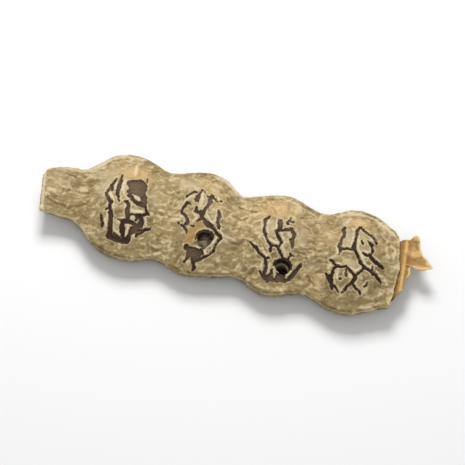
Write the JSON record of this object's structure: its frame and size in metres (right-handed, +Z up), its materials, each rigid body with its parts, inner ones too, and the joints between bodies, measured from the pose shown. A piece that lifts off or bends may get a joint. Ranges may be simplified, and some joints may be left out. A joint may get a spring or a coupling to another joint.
{
  "type": "babul pod",
  "caption": "Dry flat seed pod with notched seams, swollen seed lobes, beetle exit holes and a torn papery lining at its tip.",
  "frame": {"origin": "on the surface that the pod lies on, under the middle of its outline", "axes": "+X along the pod, from the broken neck to the torn tip; +Y across it, from one seam to the other; +Z up through its thickness"},
  "size_m": [0.0606, 0.0176, 0.0047],
  "materials": {
    "husk": "dry, leathery and matt, with dark dried gum marks over the seeds",
    "lining": "dry, golden and papery, with a slight gloss",
    "seed": "hard brown seed coat, dusty and satin"
  },
  "bodies": {
    "root": {"pod_husk": "husk", "seed_second_lobe": "seed", "seed_third_lobe": "seed"}
  },
  "joints": []
}
